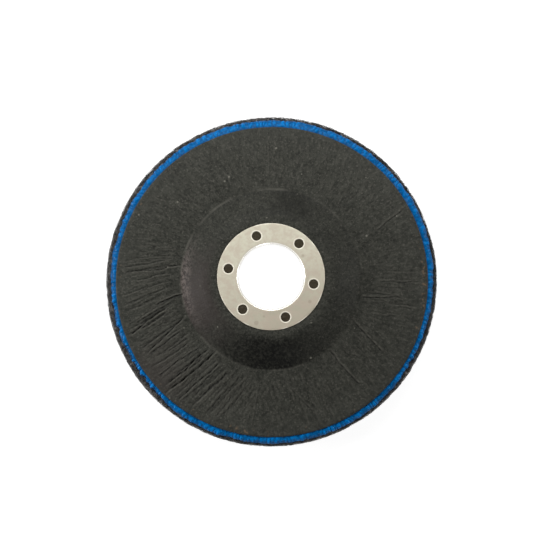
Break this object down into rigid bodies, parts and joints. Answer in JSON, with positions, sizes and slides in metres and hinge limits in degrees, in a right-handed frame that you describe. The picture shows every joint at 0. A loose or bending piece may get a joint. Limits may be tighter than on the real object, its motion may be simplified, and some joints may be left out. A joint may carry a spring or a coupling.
{
  "type": "finishing disc",
  "caption": "Depressed-centre finishing disc: a black fleece ring bonded by a blue bead of adhesive to a moulded backing plate, whose raised hub holds a steel ring round the arbor bore.",
  "frame": {"origin": "centre of the fleece's working face, on the bore's axis", "axes": "+Z along the bore's axis, from the working face towards the machine"},
  "size_m": [0.115, 0.115, 0.0183],
  "materials": {
    "fleece": "matte",
    "adhesive": "gloss",
    "laminate": "satin",
    "tinned_steel": "satin"
  },
  "bodies": {
    "root": {"fleece_pad": "fleece", "glue_bead": "adhesive", "backing_plate": "laminate", "hub_ring": "tinned_steel"}
  },
  "joints": []
}
